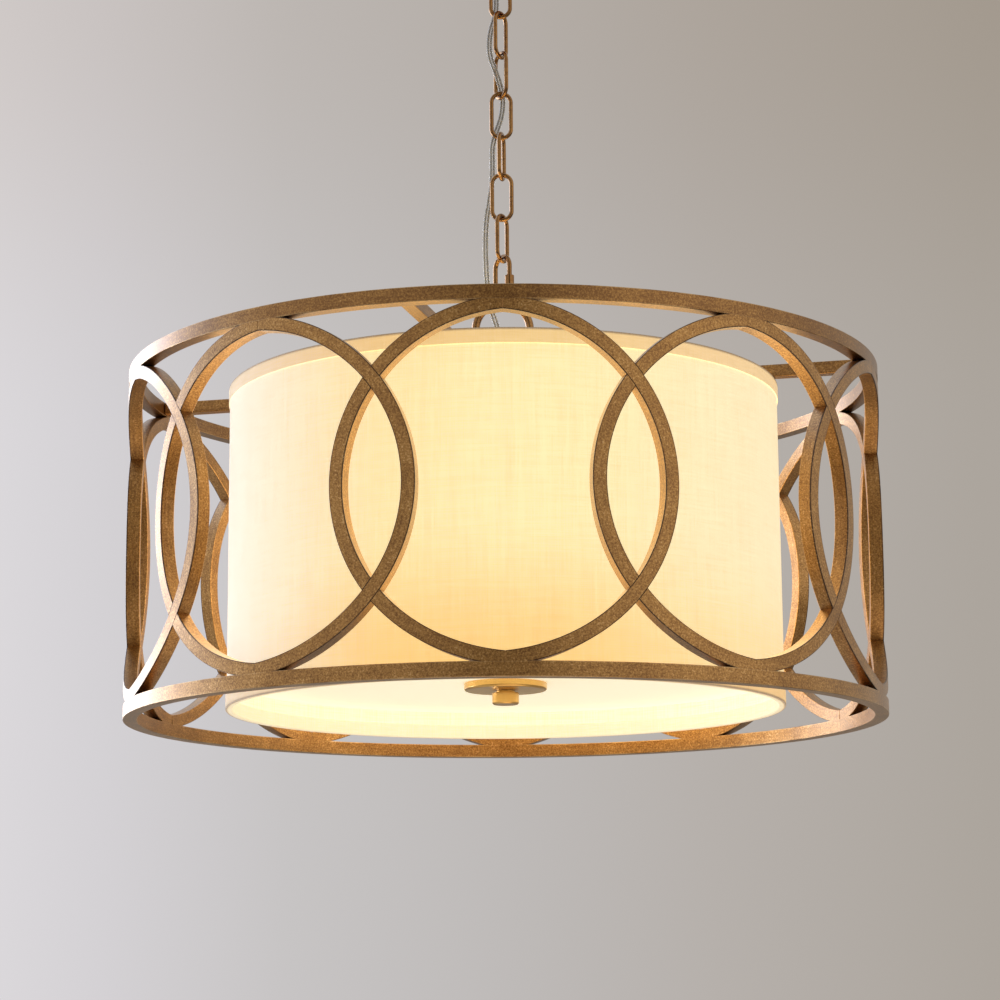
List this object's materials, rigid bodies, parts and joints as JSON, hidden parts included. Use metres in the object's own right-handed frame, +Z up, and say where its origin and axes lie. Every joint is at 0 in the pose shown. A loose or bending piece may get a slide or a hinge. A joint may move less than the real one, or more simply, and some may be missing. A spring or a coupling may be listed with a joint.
{
  "type": "drum chandelier",
  "caption": "Drum chandelier: cage of interlocking hoops between two rings around a lit fabric drum shade with a frosted diffuser, hung from a ceiling canopy on a link chain.",
  "frame": {"origin": "middle of the ceiling face of the mounting bar, between its two screw holes", "axes": "+Z up towards the ceiling, -Y towards the viewer of the picture, +X to the viewer's right along the mounting bar"},
  "size_m": [0.6, 0.6, 0.6765],
  "materials": {
    "bronze": "brushed antique bronze lacquer on steel",
    "steel": "zinc plated",
    "green_steel": "green plated",
    "linen": "cream woven fabric on a stiff backing",
    "tape": "folded cream fabric",
    "socket_plastic": "matt",
    "bulb_glass": "opal",
    "frosted_acrylic": "frosted",
    "clear_plastic": "clear twin flex"
  },
  "bodies": {
    "ceiling_mount": {"mounting_bar": "steel", "ground_screw": "green_steel", "nipple": "steel", "nipple_nut": "steel", "canopy_loop": "bronze", "supply_cord": "clear_plastic"},
    "canopy_cover": {"canopy": "bronze"},
    "collar": {"collar_ring": "bronze"},
    "link_1": {"chain_link_1": "bronze"},
    "link_2": {"chain_link_2": "bronze"},
    "link_3": {"chain_link_3": "bronze"},
    "link_4": {"chain_link_4": "bronze"},
    "link_5": {"chain_link_5": "bronze"},
    "link_6": {"chain_link_6": "bronze"},
    "link_7": {"chain_link_7": "bronze"},
    "lower_link": {"screw_link": "bronze"},
    "sleeve": {"screw_link_sleeve": "bronze"},
    "fixture": {"hang_bow": "bronze", "bow_nut_left": "steel", "bow_nut_right": "steel", "hub": "bronze", "hub_arm_1": "bronze", "hub_arm_2": "bronze", "hub_arm_3": "bronze", "hub_arm_4": "bronze", "top_ring": "bronze", "bottom_ring": "bronze", "cage_hoop_1": "bronze", "cage_hoop_2": "bronze", "cage_hoop_3": "bronze", "cage_hoop_4": "bronze", "cage_hoop_5": "bronze", "cage_hoop_6": "bronze", "cage_hoop_7": "bronze", "cage_hoop_8": "bronze", "cage_hoop_9": "bronze", "cage_hoop_10": "bronze", "centre_pipe": "steel", "pipe_top_nut": "steel", "pipe_lower_nut": "steel", "shade_fitter": "steel", "shade_bottom_wire": "steel", "shade_fabric": "linen", "shade_top_tape": "tape", "shade_bottom_tape": "tape", "lamp_cluster": "steel", "cluster_nut": "steel", "socket_1": "socket_plastic", "socket_2": "socket_plastic", "socket_3": "socket_plastic"},
    "diffuser_drop": {"diffuser": "frosted_acrylic", "finial_plate": "bronze"},
    "finial": {"finial_knob": "bronze"},
    "lamp_1": {"bulb_1": "bulb_glass"},
    "lamp_2": {"bulb_2": "bulb_glass"},
    "lamp_3": {"bulb_3": "bulb_glass"}
  },
  "joints": [
    {"name": "canopy_slide", "type": "slide", "parent": "ceiling_mount", "child": "canopy_cover", "axis": [0, 0, -1], "range_m": [0, 0.025]},
    {"name": "collar_turn", "type": "hinge", "parent": "canopy_cover", "child": "collar", "pos_m": [0, 0, -0.0285], "axis": [0, 0, 1], "continuous": true},
    {"name": "link_1_swing", "type": "hinge", "parent": "ceiling_mount", "child": "link_1", "pos_m": [0, 0, -0.0544], "axis": [0, 1, 0], "range_deg": [-12, 12], "deforming": ["supply_cord"]},
    {"name": "link_2_swing", "type": "hinge", "parent": "link_1", "child": "link_2", "pos_m": [0, 0, -0.08885], "axis": [0.9976, -0.0698, 0], "range_deg": [-12, 12]},
    {"name": "link_3_swing", "type": "hinge", "parent": "link_2", "child": "link_3", "pos_m": [0, 0, -0.12385], "axis": [0.5446, 0.8387, 0], "range_deg": [-12, 12]},
    {"name": "link_4_swing", "type": "hinge", "parent": "link_3", "child": "link_4", "pos_m": [0, 0, -0.15885], "axis": [-0.5446, 0.8387, 0], "range_deg": [-12, 12]},
    {"name": "link_5_swing", "type": "hinge", "parent": "link_4", "child": "link_5", "pos_m": [0, 0, -0.19385], "axis": [-0.9976, -0.0698, 0], "range_deg": [-12, 12]},
    {"name": "link_6_swing", "type": "hinge", "parent": "link_5", "child": "link_6", "pos_m": [0, 0, -0.22885], "axis": [-0.2419, -0.9703, 0], "range_deg": [-12, 12]},
    {"name": "link_7_swing", "type": "hinge", "parent": "link_6", "child": "link_7", "pos_m": [0, 0, -0.26385], "axis": [0.9998, -0.0175, 0], "range_deg": [-12, 12]},
    {"name": "lower_link_swing", "type": "hinge", "parent": "link_7", "child": "lower_link", "pos_m": [0, 0, -0.29885], "axis": [0.5, 0.866, 0], "range_deg": [-12, 12]},
    {"name": "sleeve_turn", "type": "hinge", "parent": "lower_link", "child": "sleeve", "pos_m": [0.00572, -0.00759, -0.31715], "axis": [0, 0, 1], "continuous": true},
    {"name": "fixture_swing", "type": "hinge", "parent": "lower_link", "child": "fixture", "pos_m": [0, 0, -0.3395], "axis": [-0.6018, 0.7986, 0], "range_deg": [-12, 12]},
    {"name": "diffuser_slide", "type": "slide", "parent": "fixture", "child": "diffuser_drop", "axis": [0, 0, -1], "range_m": [0, 0.06]},
    {"name": "finial_turn", "type": "hinge", "parent": "diffuser_drop", "child": "finial", "pos_m": [0, 0, -0.65625], "axis": [0, 0, 1], "continuous": true},
    {"name": "lamp_1_turn", "type": "hinge", "parent": "fixture", "child": "lamp_1", "pos_m": [0.01044, -0.07427, -0.55825], "axis": [0, 0, 1], "continuous": true},
    {"name": "lamp_2_turn", "type": "hinge", "parent": "fixture", "child": "lamp_2", "pos_m": [0.0591, 0.04618, -0.55825], "axis": [0, 0, 1], "continuous": true},
    {"name": "lamp_3_turn", "type": "hinge", "parent": "fixture", "child": "lamp_3", "pos_m": [-0.06954, 0.02809, -0.55825], "axis": [0, 0, 1], "continuous": true}
  ]
}
